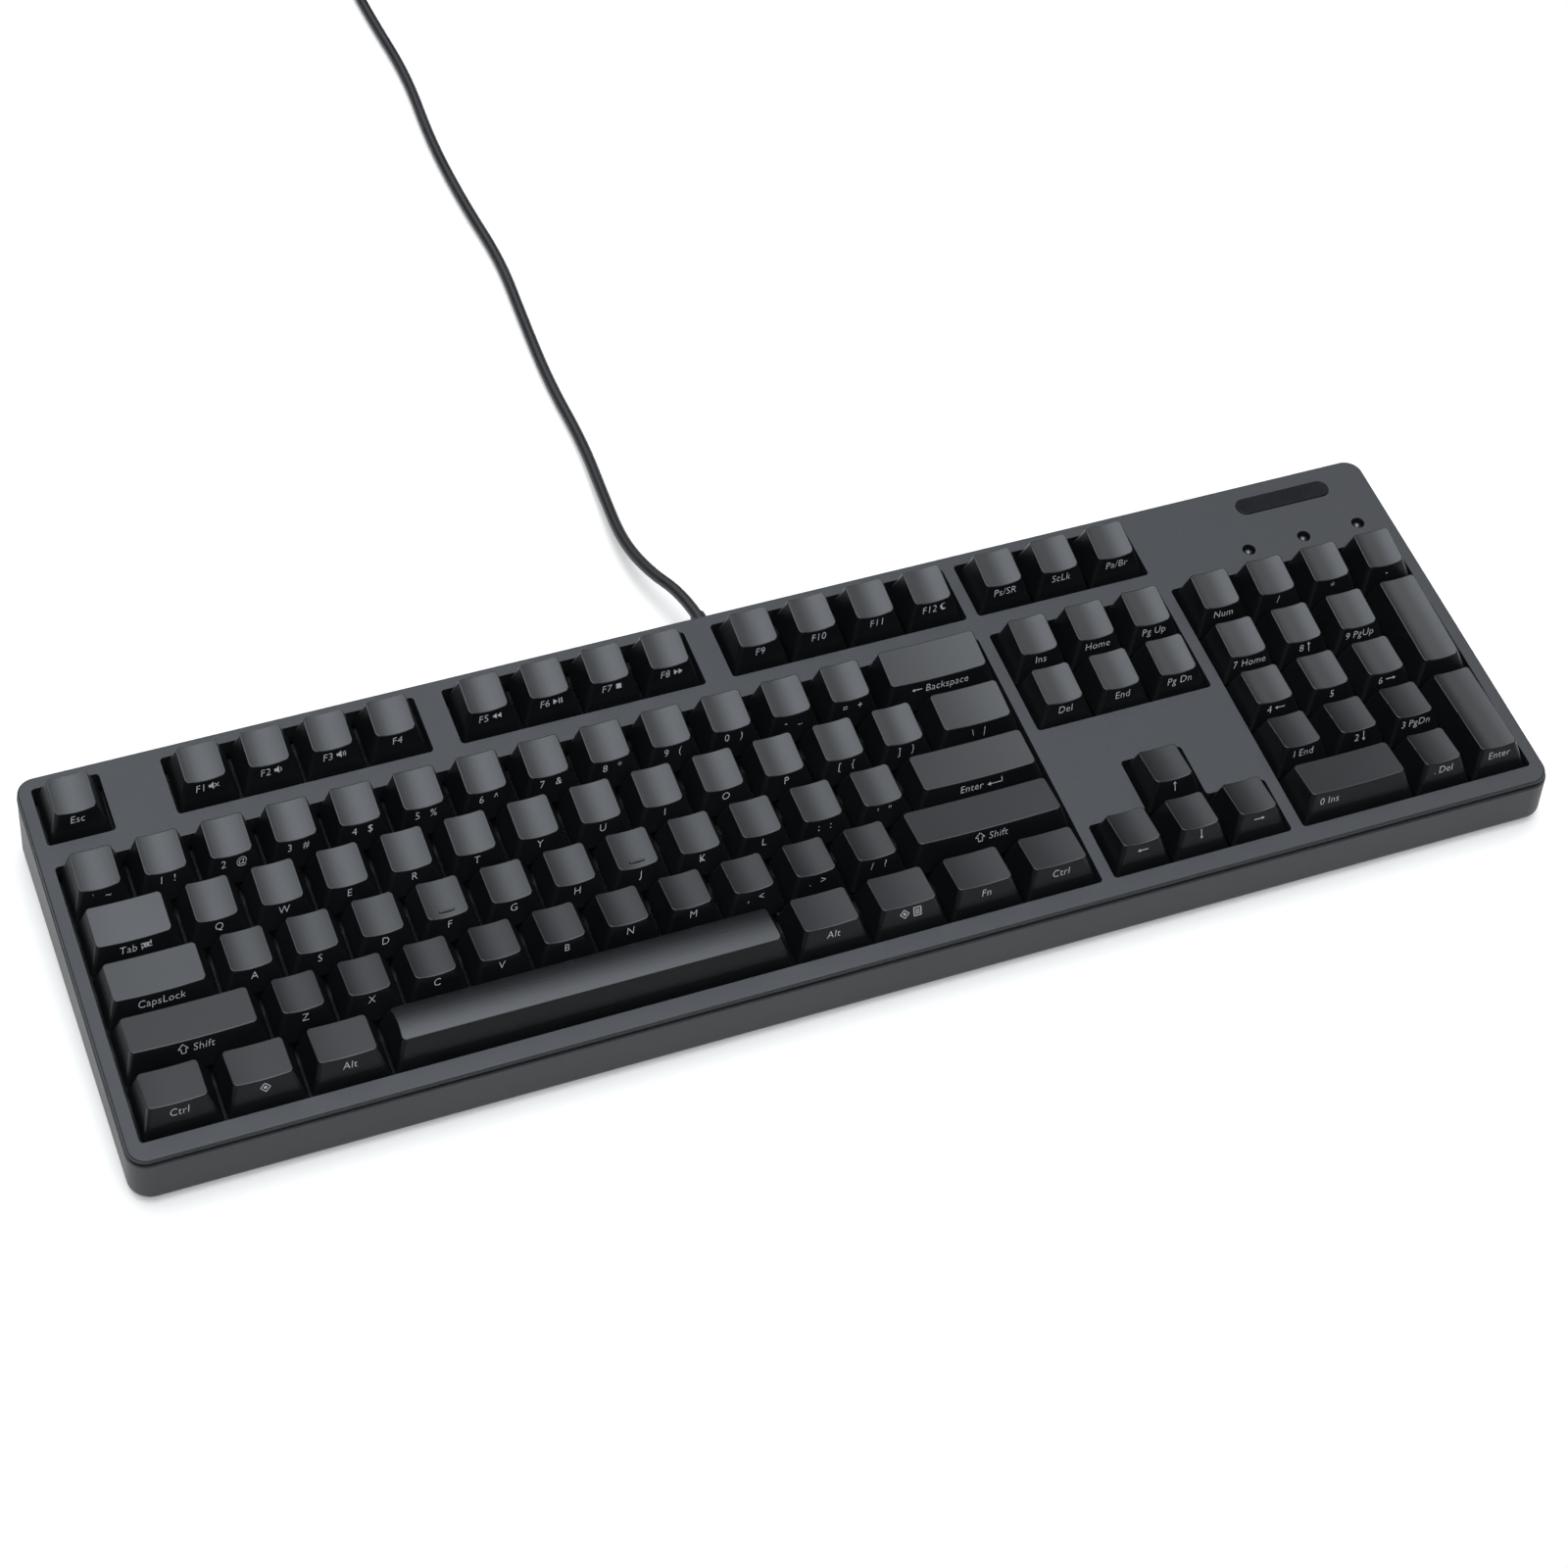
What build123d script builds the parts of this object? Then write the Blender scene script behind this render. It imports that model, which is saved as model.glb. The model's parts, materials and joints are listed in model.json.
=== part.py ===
"""A full-size mechanical keyboard, 104 keys, lying on its rubber feet with its cable put away.

The key field, its plate and its board are drawn in a deck frame: X to the right, Y to the rear
along the bezel, Z square to the bezel, origin in the bezel plane at the middle of the key field
and at the rear boundary of the function row. DECK places that frame on the desk.
"""
import os
from math import cos, pi, radians, sin, tan

from build123d import *

os.makedirs("parts", exist_ok=True)

# ---- overall sizes -------------------------------------------------------------------------
UNIT = 19.05               # pitch of the keys
FIELD_UNITS = 22.5         # width of the key field
FUNCTION_GAP = 9.4         # spare strip between the function row and the number row
TILT = 4.0                 # slope of the bezel, degrees
DECK_HEIGHT = 27.3         # bezel plane over the desk at the deck origin
DECK_SHIFT = 62.2          # deck origin behind the middle of the case
CASE_WIDTH = 440.0
CASE_DEPTH = 138.0
CASE_CORNER = 7.0
CASE_BOTTOM = 1.6          # underside over the desk
WALL = 2.4
FLOOR = 1.8
DRAFT = 2.0                # lean of the walls, degrees
BOTTOM_EDGE = 2.2          # rounding of the underside's edge
TALL_BLOCK = 50.0          # a height beyond that of the whole case, for cutting

DECK = Location((0, DECK_SHIFT, DECK_HEIGHT), (TILT, 0, 0))

# ---- heights in the deck frame -------------------------------------------------------------
BEZEL = 3.0                # thickness of the bezel
RIM = 1.6                  # height of its visible rim
RIM_EDGE = 0.7             # rounding of its top edge
TRAY_TOP = -2.4            # top edge of the tray's wall, which leaves a dark groove
LIP_BOTTOM = -5.6          # lower edge of the lips round the key openings
SKIRT_BOTTOM = -7.6        # lower edge of the bezel's skirt inside the tray's wall
PLATE_TOP = -8.2
PLATE = 1.5
BOARD_TOP = PLATE_TOP - 5.0
BOARD = 1.6
HOUSING_TOP = PLATE_TOP + 6.6
STEM_TOP = PLATE_TOP + 10.2
SKIRT = PLATE_TOP + 6.0    # lower edge of a key cap at rest
TRAVEL = 4.0

# ---- bezel outline and openings ------------------------------------------------------------
BEZEL_HALF_WIDTH = 218.9
BEZEL_REAR = 5.3
BEZEL_FRONT = -130.2
BEZEL_CORNER = 5.5
GAP_X = 0.5                # clearance of the openings beside the outer key units
GAP_FUNCTION = 1.1
GAP_MAIN = 0.45
OPENING_CORNER = 1.2
LIP = 1.4
BEZEL_SKIRT = 1.5          # thickness of the skirt

# ---- keys ----------------------------------------------------------------------------------
CAP_BASE = 18.2            # foot of a one-unit cap
CAP_TOP = 12.1             # width of its top face
CAP_WALL = 1.4
CAP_ROOF = 1.6
CAP_CORNER = 1.5           # corner radius of its top face, in plan
DISH = 0.75                # depth of the hollow in a one-unit cap's top
WIDE_DISH = 0.45           # and in a wider one's
DOME = 1.2                 # rise of the space bar's round top
SPACE_DROP = 0.8           # its rear edge stands this much lower than its row's
CAP_FOOT_CORNER = 1.0
TAPER_ON = 0.14            # caps are lofted on past their top by this share, then hollowed
EDGE = 0.35                # rounding of the top edge
HOMING = ("f", "j")        # keys with a short bar near the top's front edge
BAR = (4.6, 0.7, 0.45)     # its width, its depth and how far it stands out of the hollow
BAR_BACK = 1.9             # and its place behind the front edge
BAR_EDGE = 0.28

# Top face of each row: height of its rear and front edges, and their places behind the key's middle
ROWS = {
    "function": (8.7, 6.8, 6.6, -5.3),
    "number": (8.5, 6.8, 7.6, -5.0),
    "upper": (7.0, 5.9, 7.7, -5.4),
    "home": (5.7, 5.9, 7.9, -5.3),
    "lower": (5.6, 7.3, 8.1, -5.0),
    "bottom": (5.7, 7.5, 8.3, -4.7),
}

# Each stretch of keys: its row, its first unit, and its keys with their widths in units
LAYOUT = [
    ("function", 0.0, "escape"),
    ("function", 2.0, "f1 f2 f3 f4"),
    ("function", 6.5, "f5 f6 f7 f8"),
    ("function", 11.0, "f9 f10 f11 f12"),
    ("function", 15.25, "print_screen scroll_lock pause"),
    ("number", 0.0, "grave 1 2 3 4 5 6 7 8 9 0 minus equal backspace:2"),
    ("number", 15.25, "insert home page_up"),
    ("number", 18.5, "num_lock divide multiply subtract"),
    ("upper", 0.0, "tab:1.5 q w e r t y u i o p left_bracket right_bracket backslash:1.5"),
    ("upper", 15.25, "delete end page_down"),
    ("upper", 18.5, "pad_7 pad_8 pad_9 add"),
    ("home", 0.0, "caps_lock:1.75 a s d f g h j k l semicolon quote enter:2.25"),
    ("home", 18.5, "pad_4 pad_5 pad_6"),
    ("lower", 0.0, "left_shift:2.25 z x c v b n m comma period slash right_shift:2.75"),
    ("lower", 16.25, "up"),
    ("lower", 18.5, "pad_1 pad_2 pad_3 pad_enter"),
    ("bottom", 0.0, "left_ctrl:1.25 left_super:1.25 left_alt:1.25 space:6.25"),
    ("bottom", 10.0, "right_alt:1.25 menu:1.25 fn:1.25 right_ctrl:1.25"),
    ("bottom", 15.25, "left down right"),
    ("bottom", 18.5, "pad_0:2 pad_period"),
]
TALL = ("add", "pad_enter")            # two units deep
SINGLES = "abcdefghijklmnopqrstuvwxyz"

# Keys that move alone have a node each; the others share a node with their neighbours
GROUPS = {f"key_{letter}": [letter] for letter in SINGLES}
GROUPS |= {f"key_{name}": [name] for name in
           "space enter backspace tab left_shift right_shift escape".split()}
GROUPS |= {
    "function_keys": [f"f{n}" for n in range(1, 13)],
    "number_keys": "grave 1 2 3 4 5 6 7 8 9 0 minus equal".split(),
    "punctuation_keys": ("left_bracket right_bracket backslash semicolon quote "
                         "comma period slash").split(),
    "modifier_keys": "caps_lock left_ctrl left_super left_alt right_alt menu fn right_ctrl".split(),
    "arrow_keys": "up left down right".split(),
    "navigation_keys": ("print_screen scroll_lock pause insert home page_up "
                        "delete end page_down").split(),
    "numpad_keys": ("num_lock divide multiply subtract pad_7 pad_8 pad_9 add pad_4 pad_5 pad_6 "
                    "pad_1 pad_2 pad_3 pad_enter pad_0 pad_period").split(),
}

# ---- plate and board -----------------------------------------------------------------------
SHEET_CORNER = 2.0
PLATE_MARGIN = 1.0         # plate beyond the key field, and the board short of it
BOARD_MARGIN = -0.4
PEG_PLAY = 0.05
CONTROLLER = (10.0, 10.0, 1.2)
CONTROLLER_PLACE = ((14.0 - FIELD_UNITS / 2) * UNIT, -23.8)
CABLE_SOCKET = (12.0, 5.0, 4.0)
CABLE_SOCKET_Y = -22.0

# ---- switches ------------------------------------------------------------------------------
HOUSING = 14.0             # square hole in the plate
FLANGE = 15.4
FLANGE_THICK = 0.9
HOUSING_FOOT = 14.6        # foot and head of the housing's tapered upper half
HOUSING_HEAD = (9.9, 8.8)
WELL = (7.8, 6.8)          # rectangular well that the stem slides in
BLOCK = (7.2, 6.2)         # the stem's sliding block
BLOCK_HEIGHT = 4.0
POST_RADIUS = 1.3          # the stem's lower post, inside the spring
SPRING_RADIUS = 2.3
SPRING_WIRE = 0.4
BORE_RADIUS = 2.6
BORE_BOTTOM = PLATE_TOP - 4.2
POST_REACH = 2.0           # how far that post hangs below the block
PEG_RADIUS = 2.0           # the housing's peg through the board
PEG_END = 0.4              # how far it stands out under the board
HOUSING_PLAY = 0.1         # all round play of the housing in the plate's hole, both sides
HOUSING_CORNER = 0.6
WELL_SPARE = 0.3           # depth left under the stem's block when a key is down
CROSS_LONG = 4.0
CROSS_WIDE = 1.3
SOCKET_RADIUS = 2.8
SOCKET_FOOT = HOUSING_TOP + 0.3

# ---- posts and screws, in the deck frame: places by key unit and by row height --------------
SCREW_X = [(1.5 - FIELD_UNITS / 2) * UNIT, (6.25 - FIELD_UNITS / 2) * UNIT,
           (10.75 - FIELD_UNITS / 2) * UNIT, (20.0 - FIELD_UNITS / 2) * UNIT]
SCREW_PLACES = [(x, -0.5 * UNIT) for x in SCREW_X]
SCREW_PLACES.append(((16.75 - FIELD_UNITS / 2) * UNIT, -(3.5 * UNIT + FUNCTION_GAP)))
POST = 3.4                 # radius of the posts
POST_HOLE = 3.8
SHANK = 1.3
THREAD_PLAY = 0.05         # of the shank in the bezel's posts
BOSS_PLAY = 0.3            # of shank and head in the tray's bosses
PLATE_HOLE_PLAY = 0.4
SHANK_END = -BEZEL - 0.8   # upper end of a screw
POST_END = -BEZEL - 0.6    # and of the hole it sits in
HEAD = 2.7
HEAD_HEIGHT = 2.0
HEAD_SUNK = 0.8
HEAD_CROSS = 1.2           # depth of the cross in the head
HOOK_X = (-170.0, -85.0, 0.0, 85.0, 170.0)
HOOK = (8.0, 3.2, -7.2, -5.8)          # width, reach, lower and upper face
HOOK_PLAY = (1.0, 0.6, 0.3)            # its pocket is larger by this

# ---- indicators and badge ------------------------------------------------------------------
LAMP_X = (168.8, 188.2, 207.5)
LAMP_Y = -20.1
LAMP_HOLE = 2.15
LAMP_RADIUS = 1.5
BADGE = (32.5, 6.4, 0.9)
BADGE_PLACE = (188.6, -3.3)
BADGE_FLOOR = 0.1 - BADGE[2]           # bottom of the badge's recess
BADGE_PROUD = 0.35         # how far the badge stands out of the bezel
BADGE_PLAY = 0.1
BADGE_EDGE = 0.3
LAMP_TOP = -2.1            # height of the middle of a lamp's round end

# ---- feet ----------------------------------------------------------------------------------
RUBBER = (22.0, 8.0, 2.0)
RUBBER_RECESS = 0.4
RUBBER_PLAY = 0.2
RUBBER_EDGE = 0.4
RUBBER_CORNER = 2.0
RUBBER_PLACES = [(sx * 196.0, sy) for sx in (-1, 1) for sy in (-59.0, 61.0)]
FOOT_X = 186.0             # tilt feet, to each side of the middle
FOOT_AXIS_Y = 46.0
FOOT_AXIS_Z = 4.1
FOOT = (22.0, 17.0, 3.6)   # width, reach from the axis, thickness
FOOT_PAD = (18.0, 1.6, 2.8)
PIN_RADIUS = 1.2
PIN_LENGTH = 2.0
PIN_PLAY = 0.05
PIN_SPARE = 0.3            # depth of its hole beyond its end
POCKET_GAP = 0.6
FINGER_GAP = 5.0
FINGER_GROOVE = (1.2, 14.0, 3.0)       # its radius, its length and its place from the tip
POCKET_TOP = 6.6
POCKET_WALL = 2.6
POCKET_ROOF = 1.4
RIB = (1.6, 120.0)         # stiffening ribs on the floor: thickness and length
RIB_TOP = 7.0
RIB_X = (-150.0, -90.0, -30.0, 30.0, 90.0, 150.0)
BOARD_ROOM = 0.8           # clearance under the board

# ---- space bar's stabiliser wire, from the key's middle, in the deck frame ------------------
WIRE = 0.8                 # radius
WIRE_PLAY = 0.08
WIRE_BEND = 1.6
WIRE_AXIS = (8.9, PLATE_TOP + 0.9)
WIRE_TIP = (0.0, PLATE_TOP + 5.0)
WIRE_ARM_X = 50.0
WIRE_PIN_X = 45.0
CRADLE_X = 38.0
CRADLE = (4.0, 3.4, 1.5)
INSERT = (4.0, 5.2)        # blocks under the cap that hold the wire's ends
INSERT_X = 46.7
INSERT_MIDDLE = -0.45
SLOT = (3.0, 2.0)
PLATE_SLOT = (6.5, 8.0)

# ---- cable ---------------------------------------------------------------------------------
CABLE = 3.8                # diameter
GLAND_X = -2.0
GLAND_Z = 12.5
GLAND_END = 81.2           # rear end of the strain relief
GLAND_HOLE = 3.2           # hole in the tray's wall
GLAND_NECK = 3.1           # radii of the relief's neck, its flange and its thin end
GLAND_FLANGE = 4.6
GLAND_TIP = CABLE / 2 + 0.5
GLAND_DEPTH = 4.0          # inner face of the tray's wall behind its outer one, and the relief's
FLANGE_DEPTH = 2.0         # flange inside it
TAPER_LENGTH = 10.0
BEND_SHARE = 0.45
COIL_RADIUS = 21.0         # middle of the turns
COIL_ACROSS = 4            # turns side by side
COIL_LAYERS = 2            # and on each other
COIL_CENTRE = (17.5, 457.0)
TIE = 0.8                  # thickness of the tie
TIE_WIDTH = 9.0
PLUG = (15.6, 27.0, 8.6)   # its grip: width, length, height
PLUG_EDGE = 1.6
SLEEVE = 8.0               # length of the sleeve before the grip
SLEEVE_RADII = (CABLE / 2 + 0.4, 3.2)
SHELL = (12.0, 18.8, 4.5)  # its metal shell
SHELL_WALL = 0.35
SHELL_EDGE = 0.6
SHELL_WINDOW = (2.4, 2.0)
WINDOW_PLACE = (10.0, 2.8)
TONGUE = (16.0, 11.0, 1.6)
TONGUE_Z = 1.0
TAIL_START = 3.0           # where the cable leaves the coil, beyond its middle
PLUG_START = 16.0          # end of the plug's sleeve, beyond the coil's middle
PLUG_Z = PLUG[2] / 2

# From the strain relief, back across the desk and up to the coil
ROUTE = [
    (GLAND_X, GLAND_END, GLAND_Z),
    (-3.2, 92.5, 11.9),
    (-8.8, 107.0, 9.4),
    (-11.4, 125.0, 6.4),
    (-9.6, 148.0, 4.0),
    (-7.4, 176.0, 2.3),
    (-8.6, 207.0, 1.95),
    (-7.0, 240.0, 1.95),
    (-5.0, 271.0, 1.95),
    (-7.8, 303.0, 1.95),
    (-8.8, 340.0, 1.95),
    (-6.0, 378.0, 1.95),
    (-8.6, 414.0, 1.95),
    (-9.4, 436.0, 2.2),
    (-9.2, 455.0, 2.7),
]


def row_middle(row):
    """Y of the middle of a row of keys, in the deck frame."""
    index = list(ROWS).index(row)
    gap = FUNCTION_GAP if index else 0.0
    return -(index + 0.5) * UNIT - gap


def unit_x(units):
    """X of a place counted in key units from the left end of the key field."""
    return (units - FIELD_UNITS / 2) * UNIT


def all_keys():
    """Every key as name: (row, x, y, width in units)."""
    keys = {}
    for row, start, names in LAYOUT:
        for word in names.split():
            name, _, width = word.partition(":")
            width = float(width or 1)
            keys[name] = (row, unit_x(start + width / 2), row_middle(row), width)
            start += width
    return keys


KEYS = all_keys()


def next_row(row):
    rows = list(ROWS)
    return rows[rows.index(row) + 1]


def switch_place(name):
    """Where a key's switch stands: in the middle of its cap."""
    row, x, y, width = KEYS[name]
    if name in TALL:
        y -= UNIT / 2
    return x, y


# ---- key caps ------------------------------------------------------------------------------
def top_edges(name):
    """Rear and front edges of a cap's top face as (y, z), and how far the key reaches past one
    unit at each end."""
    row = KEYS[name][0]
    reach = UNIT / 2 if name in TALL else 0.0
    front_row = next_row(row) if name in TALL else row
    rear_height, _, rear_y, _ = ROWS[row]
    _, front_height, _, front_y = ROWS[front_row]
    if name == "space":
        rear_height -= SPACE_DROP
    return (rear_y + reach, rear_height), (front_y - reach, front_height), reach


def cap_block(width, rear, front, reach, inset=0.0, lower=0.0, extra=0.0):
    """A tapered block from the cap's foot to its top face. inset makes it smaller all round,
    lower brings its top down, and extra carries the taper on past the top, as a share of it."""
    grow = 1 + extra
    foot_half = CAP_BASE / 2 + reach - inset
    foot_width = width - UNIT + CAP_BASE - 2 * inset
    top_width = foot_width + (CAP_TOP - CAP_BASE) * grow
    ends = []
    for (y, z), side in ((rear, 1), (front, -1)):
        foot_y = side * foot_half
        top_y = foot_y + (y - side * inset - foot_y) * grow
        top_z = SKIRT + (z - lower - SKIRT) * grow
        ends.append(Vector(0, top_y, top_z))
    along = ends[0] - ends[1]
    plane = Plane((ends[0] + ends[1]) * 0.5, x_dir=(1, 0, 0), z_dir=(0, -along.Z, along.Y))
    foot = Plane.XY.offset(SKIRT) * RectangleRounded(foot_width, 2 * foot_half, CAP_FOOT_CORNER)
    top = plane * RectangleRounded(top_width, along.length, CAP_CORNER - inset / 2)
    return loft([foot, top], ruled=True)


def arc_radius(half_chord, rise):
    return (half_chord * half_chord + rise * rise) / (2 * rise)


def top_frame(rear, front):
    """Middle of the top face, its direction to the rear and its normal."""
    along = Vector(0, rear[0] - front[0], rear[1] - front[1])
    middle = Vector(0, (rear[0] + front[0]) / 2, (rear[1] + front[1]) / 2)
    return middle, along, Vector(0, -along.Z, along.Y).normalized()


def dish(width, rear, front):
    """The cylinder, lying front to rear, that hollows a cap's top."""
    depth = DISH if width < 1.2 * UNIT else WIDE_DISH
    middle, along, up = top_frame(rear, front)
    radius = arc_radius((width - UNIT + CAP_TOP) / 2, depth)
    axis = Plane(middle + up * (radius - depth), x_dir=(1, 0, 0), z_dir=along)
    return axis * Cylinder(radius, along.length + CAP_BASE)


def dome(width, rear, front):
    """The cylinder, lying side to side, that rounds the space bar's top."""
    middle, along, up = top_frame(rear, front)
    radius = arc_radius(along.length / 2, DOME)
    axis = Plane(middle - up * (radius - DOME), x_dir=(0, 1, 0), z_dir=(1, 0, 0))
    return axis * Cylinder(radius, width)


def homing_bar(rear, front):
    """A short rounded bar across a cap's top, near its front edge."""
    _, along, up = top_frame(rear, front)
    place = Vector(0, *front) + along.normalized() * BAR_BACK - up * DISH
    bar = Box(BAR[0], BAR[1], 4 * BAR[2])
    bar = fillet(bar.faces().sort_by(Axis.Z)[-1].edges(), BAR_EDGE)
    return Plane(place - up * BAR[2], x_dir=(1, 0, 0), z_dir=up) * bar


def cross():
    return Rectangle(CROSS_LONG, CROSS_WIDE) + Rectangle(CROSS_WIDE, CROSS_LONG)


def block(size, low, high, place=(0, 0)):
    """An upright block of the given plan size between two heights."""
    return Pos(place[0], place[1], low) * extrude(Rectangle(*size), high - low)


def round_block(radius, low, high, place=(0, 0)):
    return Pos(place[0], place[1], low) * extrude(Circle(radius), high - low)


def keycap(name):
    """One cap about its own middle: tapered, its top hollowed or round, open underneath, with
    the socket for its stem."""
    width = KEYS[name][3] * UNIT
    rear, front, reach = top_edges(name)
    body = cap_block(width, rear, front, reach, extra=TAPER_ON)
    body = body & dome(width, rear, front) if name == "space" else body - dish(width, rear, front)
    rim = [edge for edge in body.edges() if edge.bounding_box().min.Z > SKIRT + 1]
    body = fillet(rim, EDGE)
    if name in HOMING:
        body += homing_bar(rear, front)
    slope = (rear[1] - front[1]) / (rear[0] - front[0])
    middle_height = front[1] - front[0] * slope
    body -= cap_block(width, rear, front, reach, inset=CAP_WALL, lower=CAP_ROOF + DISH)
    ceiling = middle_height - DISH - CAP_ROOF / 2
    body += round_block(SOCKET_RADIUS, SOCKET_FOOT, ceiling)
    if name == "space":
        for side in (-1, 1):
            place = (side * INSERT_X, INSERT_MIDDLE)
            body += block(INSERT, WIRE_TIP[1] - SLOT[1], ceiling, place)
            slot = Box(2 * INSERT[0], *SLOT)
            body -= Pos(place[0], place[1], WIRE_TIP[1]) * slot
    body -= Pos(0, 0, SOCKET_FOOT) * extrude(cross(), STEM_TOP - SOCKET_FOOT)
    return body.solid()


def stem():
    """The switch's slider: a block with a cross on top and a post below."""
    foot = HOUSING_TOP - BLOCK_HEIGHT
    body = block(BLOCK, foot, HOUSING_TOP)
    body += round_block(POST_RADIUS, foot - POST_REACH, foot)
    body += Pos(0, 0, HOUSING_TOP) * extrude(cross(), STEM_TOP - HOUSING_TOP)
    return body.solid()


def key_node(names):
    """The caps and stems of some keys, on the desk."""
    pieces = []
    for name in names:
        place = Pos(*switch_place(name), 0)
        pieces += [DECK * place * keycap(name), DECK * place * stem()]
    return pieces


# ---- switches ------------------------------------------------------------------------------
def at_switches(piece):
    """A copy of one switch piece at every key, on the desk."""
    return [DECK * Pos(*switch_place(name), 0) * piece for name in KEYS]


def switch_bottom():
    flange_top = PLATE_TOP + FLANGE_THICK
    side = HOUSING - HOUSING_PLAY
    body = block((side, side), BOARD_TOP, PLATE_TOP)
    body += block((FLANGE, FLANGE), PLATE_TOP, flange_top)
    body += round_block(PEG_RADIUS, BOARD_TOP - BOARD - PEG_END, BOARD_TOP)
    body -= block(WELL, HOUSING_TOP - BLOCK_HEIGHT - TRAVEL - WELL_SPARE, flange_top)
    return (body - round_block(BORE_RADIUS, BORE_BOTTOM, PLATE_TOP)).solid()


def switch_top():
    foot = Plane.XY.offset(PLATE_TOP + FLANGE_THICK)
    foot = foot * RectangleRounded(HOUSING_FOOT, HOUSING_FOOT, HOUSING_CORNER)
    head = Plane.XY.offset(HOUSING_TOP) * RectangleRounded(*HOUSING_HEAD, HOUSING_CORNER)
    return (loft([foot, head], ruled=True) - block(WELL, PLATE_TOP, HOUSING_TOP)).solid()


def switch_spring():
    tube = Circle(SPRING_RADIUS) - Circle(SPRING_RADIUS - SPRING_WIRE)
    length = HOUSING_TOP - BLOCK_HEIGHT - BORE_BOTTOM
    return (Pos(0, 0, BORE_BOTTOM) * extrude(tube, length)).solid()


# ---- plate and board -----------------------------------------------------------------------
def deck_rectangle(margin):
    """The key field's rectangle, larger all round by margin."""
    front = row_middle("bottom") - UNIT / 2
    size = (FIELD_UNITS * UNIT + 2 * margin, -front + 2 * margin)
    return Pos(0, front / 2) * RectangleRounded(*size, SHEET_CORNER)


def stabiliser_places():
    x, y = switch_place("space")
    return [(x + side * INSERT_X, y + INSERT_MIDDLE) for side in (-1, 1)]


def wire_axis_place():
    x, y = switch_place("space")
    return x, y + WIRE_AXIS[0], WIRE_AXIS[1]


def switch_plate():
    """The steel plate that the switches clip into, with two cradles for the space bar's wire."""
    sheet = deck_rectangle(PLATE_MARGIN)
    sheet -= [Pos(*switch_place(name)) * Rectangle(HOUSING, HOUSING) for name in KEYS]
    sheet -= [Pos(*place) * Circle(SHANK + PLATE_HOLE_PLAY) for place in SCREW_PLACES]
    sheet -= [Pos(x, LAMP_Y) * Circle(LAMP_HOLE) for x in LAMP_X]
    sheet -= [Pos(*place) * Rectangle(*PLATE_SLOT) for place in stabiliser_places()]
    body = Pos(0, 0, PLATE_TOP - PLATE) * extrude(sheet, PLATE)
    x, y, z = wire_axis_place()
    for side in (-1, 1):
        cradle = block(CRADLE[:2], PLATE_TOP, PLATE_TOP + CRADLE[2], (x + side * CRADLE_X, y))
        bore = Pos(x + side * CRADLE_X, y, z) * Rot(0, 90, 0) * Cylinder(WIRE + WIRE_PLAY, 2 * CRADLE[0])
        body += cradle - bore
    return [DECK * body.solid()]


def circuit_board():
    """The board under the switches, with its controller and the cable's socket beneath it."""
    sheet = deck_rectangle(BOARD_MARGIN)
    sheet -= [Pos(*switch_place(name)) * Circle(PEG_RADIUS + PEG_PLAY) for name in KEYS]
    sheet -= [Pos(*place) * Circle(POST_HOLE) for place in SCREW_PLACES]
    foot = BOARD_TOP - BOARD
    board = Pos(0, 0, foot) * extrude(sheet, BOARD)
    controller = block(CONTROLLER[:2], foot - CONTROLLER[2], foot, CONTROLLER_PLACE)
    socket = block(CABLE_SOCKET[:2], foot - CABLE_SOCKET[2], foot, (GLAND_X, CABLE_SOCKET_Y))
    return [DECK * piece.solid() for piece in (board, controller, socket)]


# ---- case ----------------------------------------------------------------------------------
def openings():
    """Plan rectangles of the key openings as (x0, x1, y0, y1)."""
    def field(first, last, rear_row, front_row, gap):
        rear = row_middle(rear_row) + UNIT / 2 + gap
        front = row_middle(front_row) - UNIT / 2 - gap
        return unit_x(first) - GAP_X, unit_x(last) + GAP_X, front, rear

    function = [(0, 1), (2, 6), (6.5, 10.5), (11, 15), (15.25, 18.25)]
    rooms = [field(*span, "function", "function", GAP_FUNCTION) for span in function]
    rooms.append(field(0, 15, "number", "bottom", GAP_MAIN))
    rooms.append(field(15.25, 18.25, "number", "upper", GAP_MAIN))
    rooms.append(field(16.25, 17.25, "lower", "bottom", GAP_MAIN))
    rooms.append(field(15.25, 18.25, "bottom", "bottom", GAP_MAIN))
    rooms.append(field(18.5, 22.5, "number", "bottom", GAP_MAIN))
    return rooms


def rectangles(grow=0.0):
    """The key openings as one sketch, larger all round by grow."""
    sketch = Sketch()
    for x0, x1, y0, y1 in openings():
        size = (x1 - x0 + 2 * grow, y1 - y0 + 2 * grow)
        sketch += Pos((x0 + x1) / 2, (y0 + y1) / 2) * Rectangle(*size)
    return fillet(sketch.vertices(), OPENING_CORNER + grow)


def bezel_outline(inset=0.0):
    size = (2 * (BEZEL_HALF_WIDTH - inset), BEZEL_REAR - BEZEL_FRONT - 2 * inset)
    middle = (BEZEL_REAR + BEZEL_FRONT) / 2
    return Pos(0, middle) * RectangleRounded(*size, BEZEL_CORNER - inset)


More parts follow.
